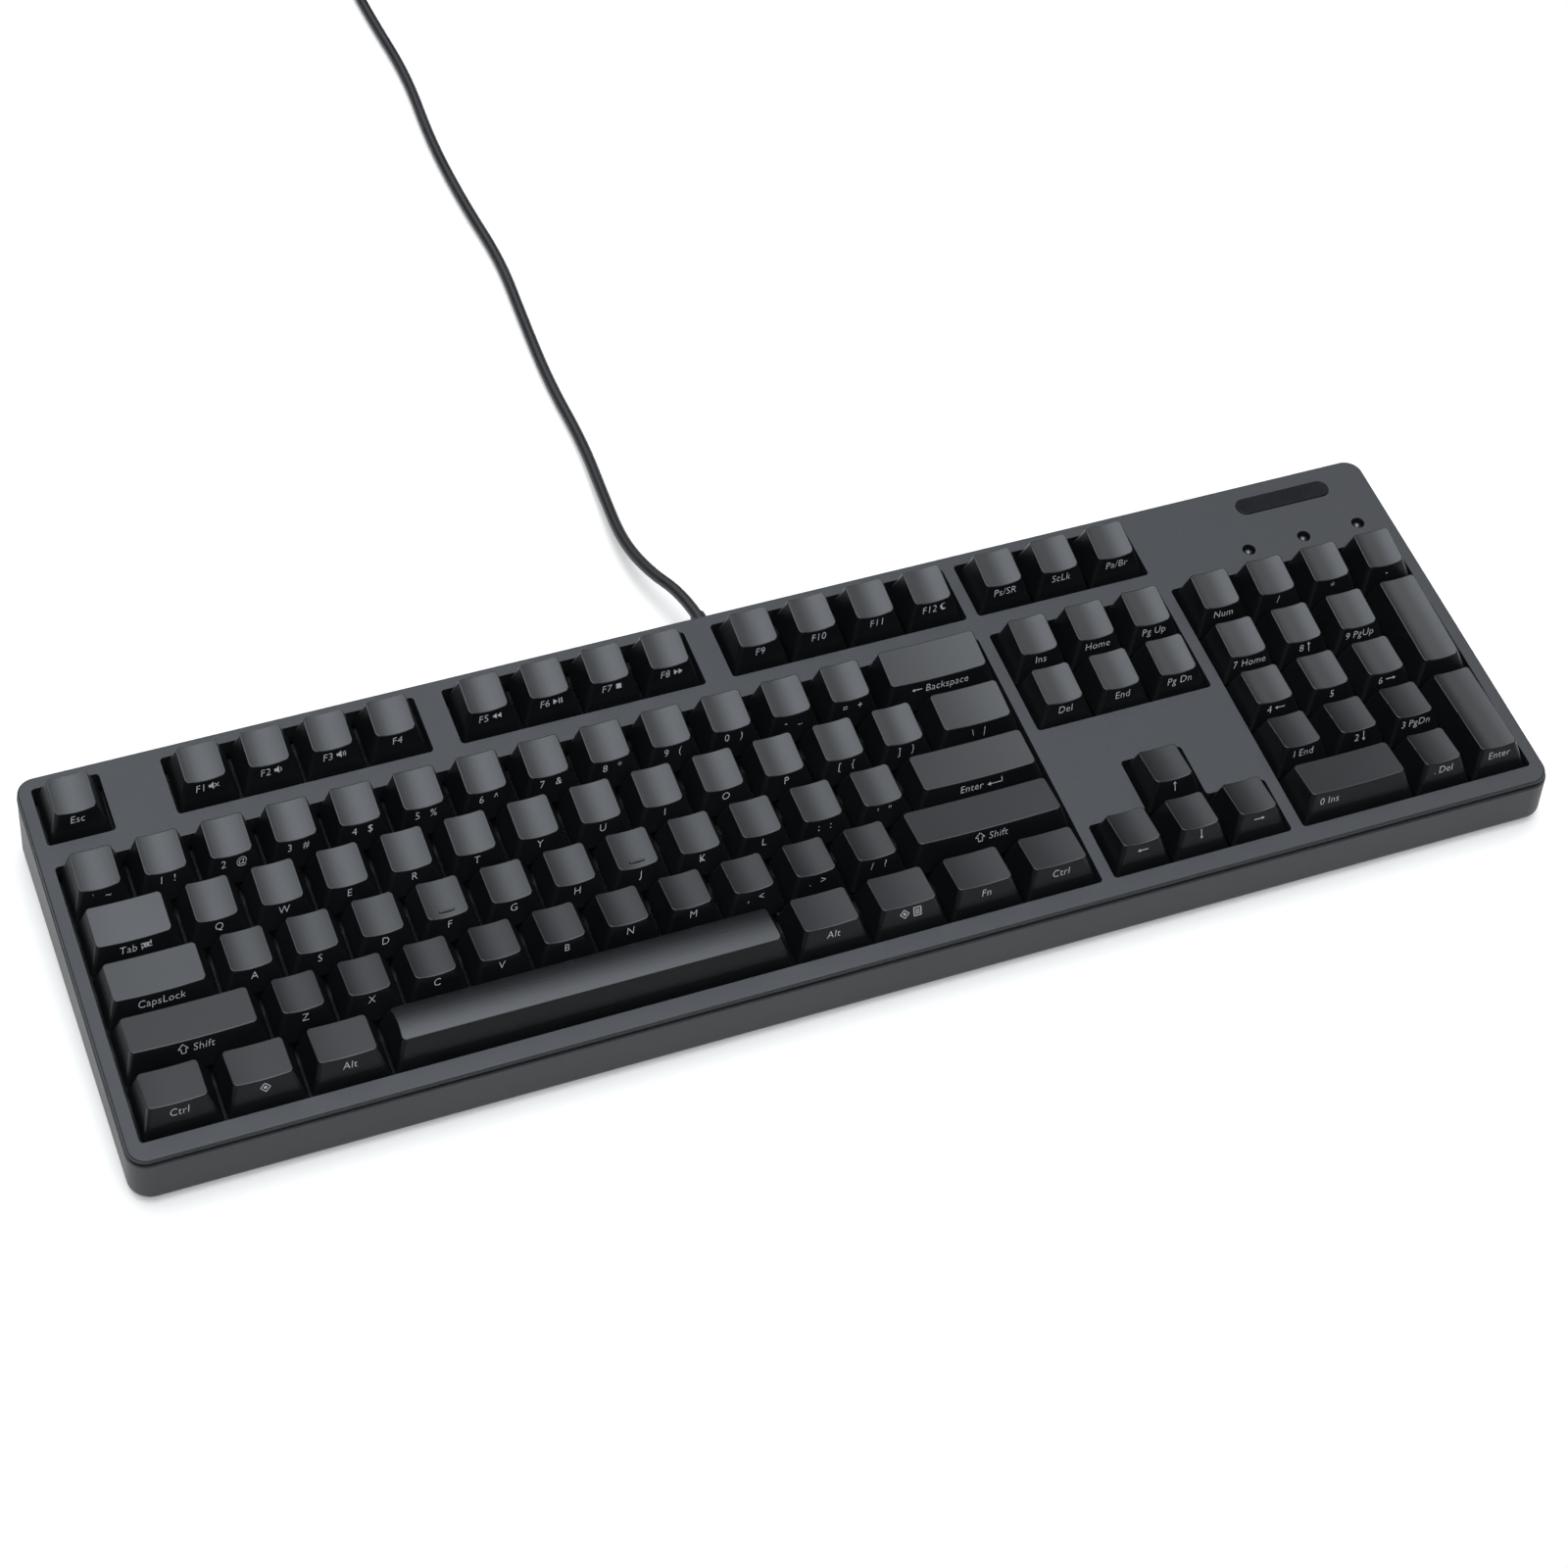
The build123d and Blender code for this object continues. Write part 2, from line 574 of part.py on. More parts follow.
def top_case():
    """The bezel: a rimmed plate with the key openings, a skirt inside the tray's walls, lips
    round the openings, screw posts, front hooks, lamp holes and the badge's recess."""
    rim = Pos(0, 0, -RIM) * extrude(bezel_outline(), RIM)
    rim = fillet(rim.faces().sort_by(Axis.Z)[-1].edges(), RIM_EDGE)
    body = rim + Pos(0, 0, -BEZEL) * extrude(bezel_outline(WALL), BEZEL - RIM)
    skirt = bezel_outline(WALL) - bezel_outline(WALL + BEZEL_SKIRT)
    body += Pos(0, 0, SKIRT_BOTTOM) * extrude(skirt, -SKIRT_BOTTOM - RIM)
    lips = rectangles(LIP) & bezel_outline(WALL)
    body += Pos(0, 0, LIP_BOTTOM) * extrude(lips, -LIP_BOTTOM - RIM)
    for place in SCREW_PLACES:
        body += round_block(POST, PLATE_TOP, -BEZEL, place)
    front = BEZEL_FRONT + WALL
    for x in HOOK_X:
        body += block(HOOK[:2], HOOK[2], HOOK[3], (x, front))
    body -= Pos(0, 0, 2 * SKIRT_BOTTOM) * extrude(rectangles(), 4 * -SKIRT_BOTTOM)
    for place in SCREW_PLACES:
        body -= round_block(SHANK + THREAD_PLAY, PLATE_TOP, POST_END, place)
    for x in LAMP_X:
        body -= round_block(LAMP_HOLE, -2 * BEZEL, BEZEL, (x, LAMP_Y))
    size = (BADGE[0] + 2 * BADGE_PLAY, BADGE[1] + 2 * BADGE_PLAY)
    recess = RectangleRounded(*size, BADGE[1] / 2)
    body -= Pos(*BADGE_PLACE, BADGE_FLOOR) * extrude(recess, BADGE[2])
    return [DECK * body.solid()]


def badge_plate():
    """A plain raised badge with rounded ends."""
    outline = RectangleRounded(BADGE[0], BADGE[1], BADGE[1] / 2 - BADGE_PLAY)
    plate = Pos(0, 0, BADGE_FLOOR) * extrude(outline, BADGE_PROUD - BADGE_FLOOR)
    plate = fillet(plate.faces().sort_by(Axis.Z)[-1].edges(), BADGE_EDGE)
    return [DECK * Pos(*BADGE_PLACE, 0) * plate.solid()]


def underside(y):
    """Height of the case's underside in the deck frame, under a place on the deck."""
    tilt = radians(TILT)
    return (CASE_BOTTOM - DECK_HEIGHT - y * sin(tilt)) / cos(tilt)


def head_seat(y):
    """Height of the face that a screw's head bears on, in the deck frame."""
    return underside(y) + HEAD_HEIGHT + HEAD_SUNK


def pocket_block(side, wall, roof):
    """The room of a tilt foot, larger by wall at its sides and ends and by roof on top."""
    rear = FOOT_AXIS_Y + FOOT[2] / 2 + POCKET_GAP + wall
    front = FOOT_AXIS_Y - FOOT[1] - FOOT_PAD[1] - FINGER_GAP - wall
    size = (FOOT[0] + 2 * POCKET_GAP + 2 * wall, rear - front)
    return block(size, CASE_BOTTOM, POCKET_TOP + roof, (side * FOOT_X, (rear + front) / 2))


def bottom_case():
    """The tray: floor and leaning walls, screw bosses, ribs, pockets for the tilt feet, recesses
    for the rubber feet, the cable's hole and pockets for the front hooks."""
    outer = extrude(RectangleRounded(CASE_WIDTH, CASE_DEPTH, CASE_CORNER), TALL_BLOCK, taper=DRAFT)
    outer = Pos(0, 0, CASE_BOTTOM) * outer
    outer = fillet(outer.faces().sort_by(Axis.Z)[0].edges(), BOTTOM_EDGE)
    room = RectangleRounded(CASE_WIDTH - 2 * WALL, CASE_DEPTH - 2 * WALL, CASE_CORNER - WALL)
    room = Pos(0, 0, CASE_BOTTOM + FLOOR) * extrude(room, TALL_BLOCK, taper=DRAFT)
    cutter = Box(2 * CASE_WIDTH, 3 * CASE_DEPTH, TALL_BLOCK)
    above = DECK * Pos(0, 0, TRAY_TOP + TALL_BLOCK / 2) * cutter
    bosses = []
    for x, y in SCREW_PLACES:
        bosses.append(DECK * round_block(POST, underside(y), PLATE_TOP - PLATE, (x, y)))
    ribs = Part() + [block(RIB, CASE_BOTTOM, RIB_TOP, (x, 0)) for x in RIB_X]
    board_foot = BOARD_TOP - BOARD - BOARD_ROOM
    ribs -= DECK * Pos(0, 0, board_foot + TALL_BLOCK / 2) * cutter
    pockets = [pocket_block(side, POCKET_WALL, POCKET_ROOF) for side in (-1, 1)]
    inside = ribs + bosses + pockets
    body = outer - room + (inside & outer) - above
    for side in (-1, 1):
        body -= pocket_block(side, 0, 0)
        length = FOOT[0] + 2 * (PIN_LENGTH + PIN_SPARE)
        pin = Rot(0, 90, 0) * Cylinder(PIN_RADIUS + PIN_PLAY, length)
        body -= Pos(side * FOOT_X, FOOT_AXIS_Y, FOOT_AXIS_Z) * pin
    for place in RUBBER_PLACES:
        size = (RUBBER[0] + 2 * RUBBER_PLAY, RUBBER[1] + 2 * RUBBER_PLAY)
        body -= block(size, 0, CASE_BOTTOM + RUBBER_RECESS, place)
    for x, y in SCREW_PLACES:
        start = underside(y) - HEAD_HEIGHT
        body -= DECK * round_block(SHANK + BOSS_PLAY, start, PLATE_TOP, (x, y))
        body -= DECK * round_block(HEAD + BOSS_PLAY, start, head_seat(y), (x, y))
    body -= Pos(GLAND_X, CASE_DEPTH / 2, GLAND_Z) * Rot(90, 0, 0) * Cylinder(GLAND_HOLE, 4 * WALL)
    pocket = (HOOK[0] + HOOK_PLAY[0], HOOK[1] + HOOK_PLAY[1])
    for x in HOOK_X:
        body -= DECK * block(pocket, HOOK[2] - HOOK_PLAY[2], HOOK[3] + HOOK_PLAY[2],
                             (x, BEZEL_FRONT + WALL))
    return [body.solid()]


def case_screws():
    """Long screws from the underside through bosses, board and plate into the bezel's posts."""
    screws = []
    for x, y in SCREW_PLACES:
        seat = head_seat(y)
        screw = round_block(SHANK, seat, SHANK_END, (x, y))
        screw += round_block(HEAD, seat - HEAD_HEIGHT, seat, (x, y))
        screw -= Pos(x, y, seat - HEAD_HEIGHT) * extrude(cross(), HEAD_CROSS)
        screws.append(DECK * screw.solid())
    return screws


def indicator_lamps():
    lamps = []
    for x in LAMP_X:
        lamp = round_block(LAMP_RADIUS, BOARD_TOP, LAMP_TOP, (x, LAMP_Y))
        lamp += Pos(x, LAMP_Y, LAMP_TOP) * Sphere(LAMP_RADIUS)
        lamps.append(DECK * lamp.solid())
    return lamps


# ---- feet ----------------------------------------------------------------------------------
def rubber_feet():
    feet = []
    for place in RUBBER_PLACES:
        foot = Pos(*place, 0) * extrude(RectangleRounded(*RUBBER[:2], RUBBER_CORNER), RUBBER[2])
        foot = fillet(foot.faces().sort_by(Axis.Z)[0].edges(), RUBBER_EDGE)
        feet.append(foot.solid())
    return feet


def tilt_foot(side):
    """A folded foot: a tongue with a round hinge end and two pins, and a rubber pad on its tip."""
    width, reach, thick = FOOT
    axis = Pos(side * FOOT_X, FOOT_AXIS_Y, FOOT_AXIS_Z)
    tongue = Pos(0, -reach / 2, 0) * Box(width, reach, thick)
    groove = Rot(0, 90, 0) * Cylinder(FINGER_GROOVE[0], FINGER_GROOVE[1])
    tongue -= Pos(0, FINGER_GROOVE[2] - reach, thick / 2) * groove
    body = tongue + Rot(0, 90, 0) * Cylinder(thick / 2, width)
    body += Rot(0, 90, 0) * Cylinder(PIN_RADIUS, width + 2 * PIN_LENGTH)
    pad = Pos(0, -reach - FOOT_PAD[1] / 2, 0) * Box(*FOOT_PAD)
    return [axis * body.solid(), axis * pad.solid()]


# ---- stabiliser wire -----------------------------------------------------------------------
def space_bar_wire():
    """A bar across the space bar's rear, with an arm at each end that reaches into the cap."""
    x, y = switch_place("space")
    half = [(WIRE_PIN_X, *WIRE_TIP), (WIRE_ARM_X, *WIRE_TIP), (WIRE_ARM_X, *WIRE_AXIS)]
    points = [(-px, py, pz) for px, py, pz in half] + half[::-1]
    path = FilletPolyline(*points, radius=WIRE_BEND)
    section = Plane(path @ 0, z_dir=path % 0) * Circle(WIRE)
    return [DECK * Pos(x, y, 0) * sweep(section, path=path).solid()]


# ---- cable ---------------------------------------------------------------------------------
def strain_relief():
    """A flange inside the rear wall, a neck through it and a tapered sleeve outside."""
    neck = CASE_DEPTH / 2 - GLAND_DEPTH
    start = neck - FLANGE_DEPTH
    profile = Polyline((0, start), (GLAND_FLANGE, start), (GLAND_FLANGE, neck), (GLAND_NECK, neck),
                       (GLAND_NECK, GLAND_END - TAPER_LENGTH), (GLAND_TIP, GLAND_END),
                       (0, GLAND_END), close=True)
    body = revolve(make_face(profile), axis=Axis.Y)
    return [Pos(GLAND_X, 0, GLAND_Z) * body.solid()]


def route_radii(points):
    """BEND_SHARE of the shorter run beside each corner, over the tangent of half its turn."""
    radii = []
    for before, here, after in zip(points, points[1:], points[2:]):
        come, go = Vector(here) - Vector(before), Vector(after) - Vector(here)
        half_turn = radians(come.get_angle(go) / 2)
        radii.append(BEND_SHARE * min(come.length, go.length) / tan(half_turn))
    return radii


def tube(path):
    section = Plane(path @ 0, z_dir=path % 0) * Circle(CABLE / 2)
    solid = sweep(section, path=path).solid()
    share = solid.volume / (pi * CABLE ** 2 / 4 * path.length)
    print(f"tube: length {path.length:.1f}, volume over section times length {share:.4f}")
    return solid


def coil_side():
    """Distance from the coil's middle to the middle of its outermost turns."""
    return COIL_RADIUS + CABLE * (COIL_ACROSS - 1) / 2


def coil_section(margin):
    size = (CABLE * COIL_ACROSS + 2 * margin, CABLE * COIL_LAYERS + 2 * margin)
    middle = TIE + CABLE * COIL_LAYERS / 2
    return Plane.XZ * Pos(COIL_RADIUS, middle) * RectangleRounded(*size, CABLE / 2)


def cable_tube():
    """The cable from the strain relief to the coil, and its short end from the coil to the plug."""
    radii = route_radii(ROUTE)
    print("cable radii:", ", ".join(f"{radius:.0f}" for radius in radii))
    path = FilletPolyline(*ROUTE, radius=radii)
    x, y = COIL_CENTRE
    top = TIE + CABLE * (COIL_LAYERS - 0.5)
    tail = Line((x + TAIL_START, y + coil_side(), top), (x + PLUG_START, y + coil_side(), PLUG_Z))
    return [tube(path), tube(tail)]


def cable_coil():
    return [Pos(*COIL_CENTRE, 0) * revolve(coil_section(0), axis=Axis.Z).solid()]


def coil_tie():
    """A strap round the coil's turns, over a short arc of it."""
    band = coil_section(TIE) - coil_section(0)
    angle = TIE_WIDTH / COIL_RADIUS * 180 / pi
    strap = Rot(0, 0, -angle / 2) * revolve(band, axis=Axis.Z, revolution_arc=angle)
    return [Pos(*COIL_CENTRE, 0) * strap.solid()]


def plug_body():
    """The plug's moulded grip with its tapered sleeve, and the tongue inside the metal shell."""
    x, y = COIL_CENTRE
    start = Pos(x + PLUG_START, y + coil_side(), PLUG_Z)
    sleeve = Pos(SLEEVE / 2, 0, 0) * Rot(0, 90, 0) * Cone(*SLEEVE_RADII, SLEEVE)
    grip = Pos(SLEEVE + PLUG[1] / 2, 0, 0) * Box(PLUG[1], PLUG[0], PLUG[2])
    grip = fillet(grip.edges(), PLUG_EDGE)
    tongue = Pos(SLEEVE + PLUG[1] + TONGUE[0] / 2, 0, TONGUE_Z) * Box(*TONGUE)
    return [start * (grip + sleeve).solid(), start * tongue.solid()]


def plug_shell():
    x, y = COIL_CENTRE
    start = Pos(x + PLUG_START + SLEEVE + PLUG[1], y + coil_side(), PLUG_Z)
    width, length, height = SHELL
    outer = Pos(length / 2, 0, 0) * Box(length, width, height)
    outer = fillet(outer.edges().filter_by(Axis.X), SHELL_EDGE)
    shell = outer - Pos(length / 2, 0, 0) * Box(2 * length, width - 2 * SHELL_WALL,
                                                height - 2 * SHELL_WALL)
    for side in (-1, 1):
        place = Pos(WINDOW_PLACE[0], side * WINDOW_PLACE[1], 0)
        shell -= place * Box(*SHELL_WINDOW, 2 * height)
    return [start * shell.solid()]


# ---- write the nodes -----------------------------------------------------------------------
def write(node, pieces):
    export_step(Compound(children=pieces), f"parts/{node}.step")


NODES = {
    "top_case": top_case(),
    "bottom_case": bottom_case(),
    "badge_plate": badge_plate(),
    "switch_plate": switch_plate(),
    "circuit_board": circuit_board(),
    "switch_bottoms": at_switches(switch_bottom()),
    "switch_tops": at_switches(switch_top()),
    "switch_springs": at_switches(switch_spring()),
    "indicator_lamps": indicator_lamps(),
    "case_screws": case_screws(),
    "rubber_feet": rubber_feet(),
    "tilt_foot_left": tilt_foot(-1),
    "tilt_foot_right": tilt_foot(1),
    "space_bar_wire": space_bar_wire(),
    "strain_relief": strain_relief(),
    "cable_tube": cable_tube(),
    "cable_coil": cable_coil(),
    "coil_tie": coil_tie(),
    "plug_body": plug_body(),
    "plug_shell": plug_shell(),
}
NODES |= {node: key_node(names) for node, names in GROUPS.items()}

for node, pieces in NODES.items():
    write(node, pieces)
print(len(NODES), "nodes,", sum(len(pieces) for pieces in NODES.values()), "solids")
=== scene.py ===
"""Looks for the full-size mechanical keyboard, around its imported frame."""
import json
import math

import bpy
from mathutils import Matrix, Vector


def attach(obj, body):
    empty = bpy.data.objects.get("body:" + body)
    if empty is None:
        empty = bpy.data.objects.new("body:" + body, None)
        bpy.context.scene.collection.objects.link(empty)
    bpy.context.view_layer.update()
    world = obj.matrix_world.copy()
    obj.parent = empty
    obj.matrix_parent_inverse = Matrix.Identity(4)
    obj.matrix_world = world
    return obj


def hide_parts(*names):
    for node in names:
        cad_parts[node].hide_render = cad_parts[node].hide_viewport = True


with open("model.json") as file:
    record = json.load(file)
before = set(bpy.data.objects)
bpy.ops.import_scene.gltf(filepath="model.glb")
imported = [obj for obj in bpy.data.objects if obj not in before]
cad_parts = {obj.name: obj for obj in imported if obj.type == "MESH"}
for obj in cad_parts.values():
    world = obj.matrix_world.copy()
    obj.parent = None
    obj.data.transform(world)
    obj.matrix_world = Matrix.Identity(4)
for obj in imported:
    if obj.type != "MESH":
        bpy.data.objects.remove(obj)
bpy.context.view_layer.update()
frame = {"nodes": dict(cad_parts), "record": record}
MM = 0.001

# ---- the deck frame of the key field, as the CAD source has it, in millimetres --------------
UNIT = 19.05
FIELD_UNITS = 22.5
FUNCTION_GAP = 9.4         # between the function row and the number row
TILT = 4.0                 # slope of the deck, in degrees
DECK_Y, DECK_Z = 62.2, 27.3     # the rear edge of the key field, at the deck
DECK = (Matrix.Translation((0, DECK_Y * MM, DECK_Z * MM))
        @ Matrix.Rotation(math.radians(TILT), 4, "X"))
SKIRT = -2.2               # lower edge of the caps
CAP_BASE = 18.2            # a cap's depth there

# Front edge of each row's top face: its height, and its place behind the key's middle
ROWS = {
    "function": (6.8, -5.3),
    "number": (6.8, -5.0),
    "upper": (5.9, -5.4),
    "home": (5.9, -5.3),
    "lower": (7.3, -5.0),
    "bottom": (7.5, -4.7),
}


# ---- camera --------------------------------------------------------------------------------
LENS = 80.24               # for a sensor this wide, both in millimetres
SENSOR = 36.0
CAMERA_PLACE = (-0.2852, -0.6162, 0.8049)
CAMERA_RIGHT = (0.93227, -0.35797, 0.05221)
CAMERA_UP = (0.23958, 0.7191, 0.65231)
NEAREST, FARTHEST = 0.05, 20.0


def add_camera():
    data = bpy.data.cameras.new("Camera")
    data.lens = LENS
    data.sensor_width = SENSOR
    data.clip_start = NEAREST
    data.clip_end = FARTHEST
    camera = bpy.data.objects.new("Camera", data)
    right = Vector(CAMERA_RIGHT)
    up = Vector(CAMERA_UP)
    back = right.cross(up)
    turn = Matrix((right, up, back)).transposed()
    camera.matrix_world = Matrix.Translation(CAMERA_PLACE) @ turn.to_4x4()
    bpy.context.scene.collection.objects.link(camera)
    bpy.context.scene.camera = camera


add_camera()


# ---- materials -----------------------------------------------------------------------------
NOISE_SPAN = (0.3, 0.7)    # where nearly all of a noise texture's values lie
PATCH_DETAIL, GRAIN_DETAIL = 4.0, 2.0
NOISE_ROUGHNESS = 0.6
GLOSS_WANDER = 0.03        # how far the grain moves the roughness either way
COAT_ROUGHNESS = 0.18


def new_material(name):
    material = bpy.data.materials.new(name)
    material.use_nodes = True
    nodes = material.node_tree.nodes
    return material, nodes, material.node_tree.links, nodes["Principled BSDF"]


def noise(nodes, links, scale, detail):
    """Noise in the frame's own coordinates, so its grain has a real size."""
    place = nodes.new("ShaderNodeTexCoord")
    texture = nodes.new("ShaderNodeTexNoise")
    texture.inputs["Scale"].default_value = scale
    texture.inputs["Detail"].default_value = detail
    texture.inputs["Roughness"].default_value = NOISE_ROUGHNESS
    links.new(place.outputs["Object"], texture.inputs["Vector"])
    return texture.outputs["Fac"]


def spread(nodes, links, value, low, high):
    """Maps noise to a range."""
    span = nodes.new("ShaderNodeMapRange")
    span.inputs["From Min"].default_value, span.inputs["From Max"].default_value = NOISE_SPAN
    span.inputs["To Min"].default_value = low
    span.inputs["To Max"].default_value = high
    links.new(value, span.inputs["Value"])
    return span.outputs["Result"]


def tint(nodes, links, value, dark, light):
    mix = nodes.new("ShaderNodeMix")
    mix.data_type = "RGBA"
    mix.inputs["A"].default_value = (*dark, 1)
    mix.inputs["B"].default_value = (*light, 1)
    links.new(value, mix.inputs["Factor"])
    return mix.outputs["Result"]


def plastic(name, dark, light, rough, grain, depth, patch=60.0, spec=0.5, coat=0.0, metal=0.0):
    """A moulded surface: colour and gloss wander a little, and a fine grain gives the texture.
    grain and patch are in cells per metre, and depth in metres."""
    material, nodes, links, shader = new_material(name)
    cloud = noise(nodes, links, patch, PATCH_DETAIL)
    links.new(tint(nodes, links, spread(nodes, links, cloud, 0, 1), dark, light),
              shader.inputs["Base Color"])
    fine = noise(nodes, links, grain, GRAIN_DETAIL)
    wander = nodes.new("ShaderNodeMath")
    wander.operation = "ADD"
    links.new(spread(nodes, links, cloud, rough[0], rough[1]), wander.inputs[0])
    links.new(spread(nodes, links, fine, -GLOSS_WANDER, GLOSS_WANDER), wander.inputs[1])
    links.new(wander.outputs[0], shader.inputs["Roughness"])
    bump = nodes.new("ShaderNodeBump")
    bump.inputs["Distance"].default_value = depth
    bump.inputs["Strength"].default_value = 1.0
    links.new(fine, bump.inputs["Height"])
    links.new(bump.outputs["Normal"], shader.inputs["Normal"])
    shader.inputs["Specular IOR Level"].default_value = spec
    shader.inputs["Coat Weight"].default_value = coat
    shader.inputs["Coat Roughness"].default_value = COAT_ROUGHNESS
    shader.inputs["Metallic"].default_value = metal
    return material


CAP = plastic("cap_plastic", (0.0030, 0.0033, 0.0040), (0.0045, 0.0048, 0.0056),
              (0.33, 0.38), 2600, 0.00001, 45.0, 0.43, 0.12)
CASE = plastic("case_plastic", (0.0128, 0.0139, 0.016), (0.0168, 0.0178, 0.0203),
               (0.45, 0.51), 2200, 0.00005, 25.0, 0.5)
BADGE = plastic("badge_gloss", (0.003, 0.003, 0.004), (0.005, 0.005, 0.006), (0.12, 0.2), 900,
                0.000002, 80.0, 0.15)
PLATE = plastic("plate_coat", (0.006, 0.006, 0.007), (0.010, 0.010, 0.011), (0.45, 0.6), 3000,
                0.00001, 50.0)
BOARD = plastic("board_mask", (0.006, 0.035, 0.016), (0.010, 0.050, 0.024), (0.25, 0.4), 1500,
                0.00001, 90.0)
SWITCH = plastic("switch_plastic", (0.006, 0.006, 0.006), (0.010, 0.010, 0.010), (0.4, 0.55), 2500,
                 0.00001, 120.0)
STEEL = plastic("bright_steel", (0.42, 0.42, 0.43), (0.55, 0.55, 0.56), (0.22, 0.34), 4000,
                0.000002, 200.0, 0.5, 0.0, 1.0)
SCREW = plastic("black_steel", (0.06, 0.06, 0.065), (0.10, 0.10, 0.105), (0.3, 0.45), 4000,
                0.000004, 300.0, 0.5, 0.0, 1.0)
RUBBER = plastic("foot_rubber", (0.012, 0.012, 0.012), (0.022, 0.022, 0.021), (0.75, 0.88), 1800,
                 0.00003, 150.0, 0.35)
CABLE = plastic("cable_jacket", (0.006, 0.0062, 0.0068), (0.010, 0.0102, 0.011), (0.36, 0.46), 1500,
                0.00001, 60.0, 0.5)
PLUG = plastic("plug_moulding", (0.008, 0.008, 0.009), (0.013, 0.013, 0.014), (0.4, 0.5), 2400,
               0.00001, 120.0)
TIE = plastic("tie_strap", (0.006, 0.006, 0.006), (0.012, 0.012, 0.012), (0.7, 0.85), 1600,
              0.00006, 200.0, 0.3)
INK = plastic("legend_ink", (0.49, 0.47, 0.49), (0.59, 0.565, 0.59), (0.5, 0.65), 3000,
              0.000004, 400.0, 0.4)
LAMP = plastic("lamp_lens", (0.02, 0.02, 0.022), (0.035, 0.035, 0.037), (0.08, 0.14), 500,
               0.000001, 60.0, 0.5, 0.6)

FINISHES = {
    "case": CASE, "cap": CAP, "badge": BADGE, "plate": PLATE, "board": BOARD, "switch": SWITCH,
    "spring": STEEL, "screw": SCREW, "lamp": LAMP, "rubber": RUBBER, "cable": CABLE, "tie": TIE,
    "plug": PLUG, "shell": STEEL,
}


def paint(piece, *materials):
    piece.data.materials.clear()
    for material in materials:
        piece.data.materials.append(material)


for row in frame["record"]["subparts"]:
    paint(frame["nodes"][row["node"]], FINISHES[row["material_slot"]])


# ---- cable ---------------------------------------------------------------------------------
CABLE_WIDE = 3.8
ROUTE = [
    (-2.0, 81.2, 12.5),
    (-3.2, 92.5, 11.9),
    (-8.8, 107.0, 9.4),
    (-11.4, 125.0, 6.4),
    (-9.6, 148.0, 4.0),
    (-7.4, 176.0, 2.3),
    (-8.6, 207.0, 1.95),
    (-7.0, 240.0, 1.95),
    (-5.0, 271.0, 1.95),
    (-7.8, 303.0, 1.95),
    (-8.8, 340.0, 1.95),
    (-6.0, 378.0, 1.95),
    (-8.6, 414.0, 1.95),
    (-9.4, 436.0, 2.2),
    (-9.2, 455.0, 2.7),
]
COIL_CENTRE = (17.5, 457.0)
COIL_RADIUS = 21.0
COLUMNS = 4
LAYERS = 2
TIE_THICK = 0.8
TURN_POINTS = 24
TAIL = [(3.0, 6.5), (16.0, 4.3)]       # beyond the coil's middle, and height


def coil_points():
    """Turns side by side and on each other, wound in along the floor and out again on top."""
    points = []
    steps = int((COLUMNS * LAYERS + 0.25) * TURN_POINTS)
    for step in range(1, steps + 1):
        turns = step / TURN_POINTS
        layer = min(int(turns / COLUMNS), LAYERS - 1)
        within = min(turns - layer * COLUMNS, COLUMNS)
        column = min(int(within), COLUMNS - 1)
        shift = min(max((within - column - 0.75) / 0.25, 0), 1) if column < COLUMNS - 1 else 0
        place = column + shift
        if layer % 2:
            place = COLUMNS - 1 - place
        radius = COIL_RADIUS + CABLE_WIDE * ((COLUMNS - 1) / 2 - place)
        rise = min(max((turns - COLUMNS + 0.15) / 0.3, 0), 1)
        angle = math.pi - 2 * math.pi * turns
        points.append((COIL_CENTRE[0] + radius * math.cos(angle),
                       COIL_CENTRE[1] + radius * math.sin(angle),
                       TIE_THICK + CABLE_WIDE * (0.5 + rise)))
    return points


def add_cable():
    outer = COIL_RADIUS + CABLE_WIDE * (COLUMNS - 1) / 2
    tail = [(COIL_CENTRE[0] + x, COIL_CENTRE[1] + outer, z) for x, z in TAIL]
    points = ROUTE + coil_points() + tail
    curve = bpy.data.curves.new("cable", "CURVE")
    curve.dimensions = "3D"
    curve.bevel_depth = CABLE_WIDE / 2 * MM
    curve.bevel_resolution = 5
    curve.resolution_u = 6
    curve.use_fill_caps = True
    spline = curve.splines.new("NURBS")
    spline.points.add(len(points) - 1)
    for point, place in zip(spline.points, points):
        point.co = (*(Vector(place) * MM), 1)
    spline.order_u = 3
    spline.use_endpoint_u = True
    cable = bpy.data.objects.new("cable", curve)
    bpy.context.scene.collection.objects.link(cable)
    paint(cable, CABLE)
    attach(cable, "case")
    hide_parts("cable_tube", "cable_coil")


add_cable()

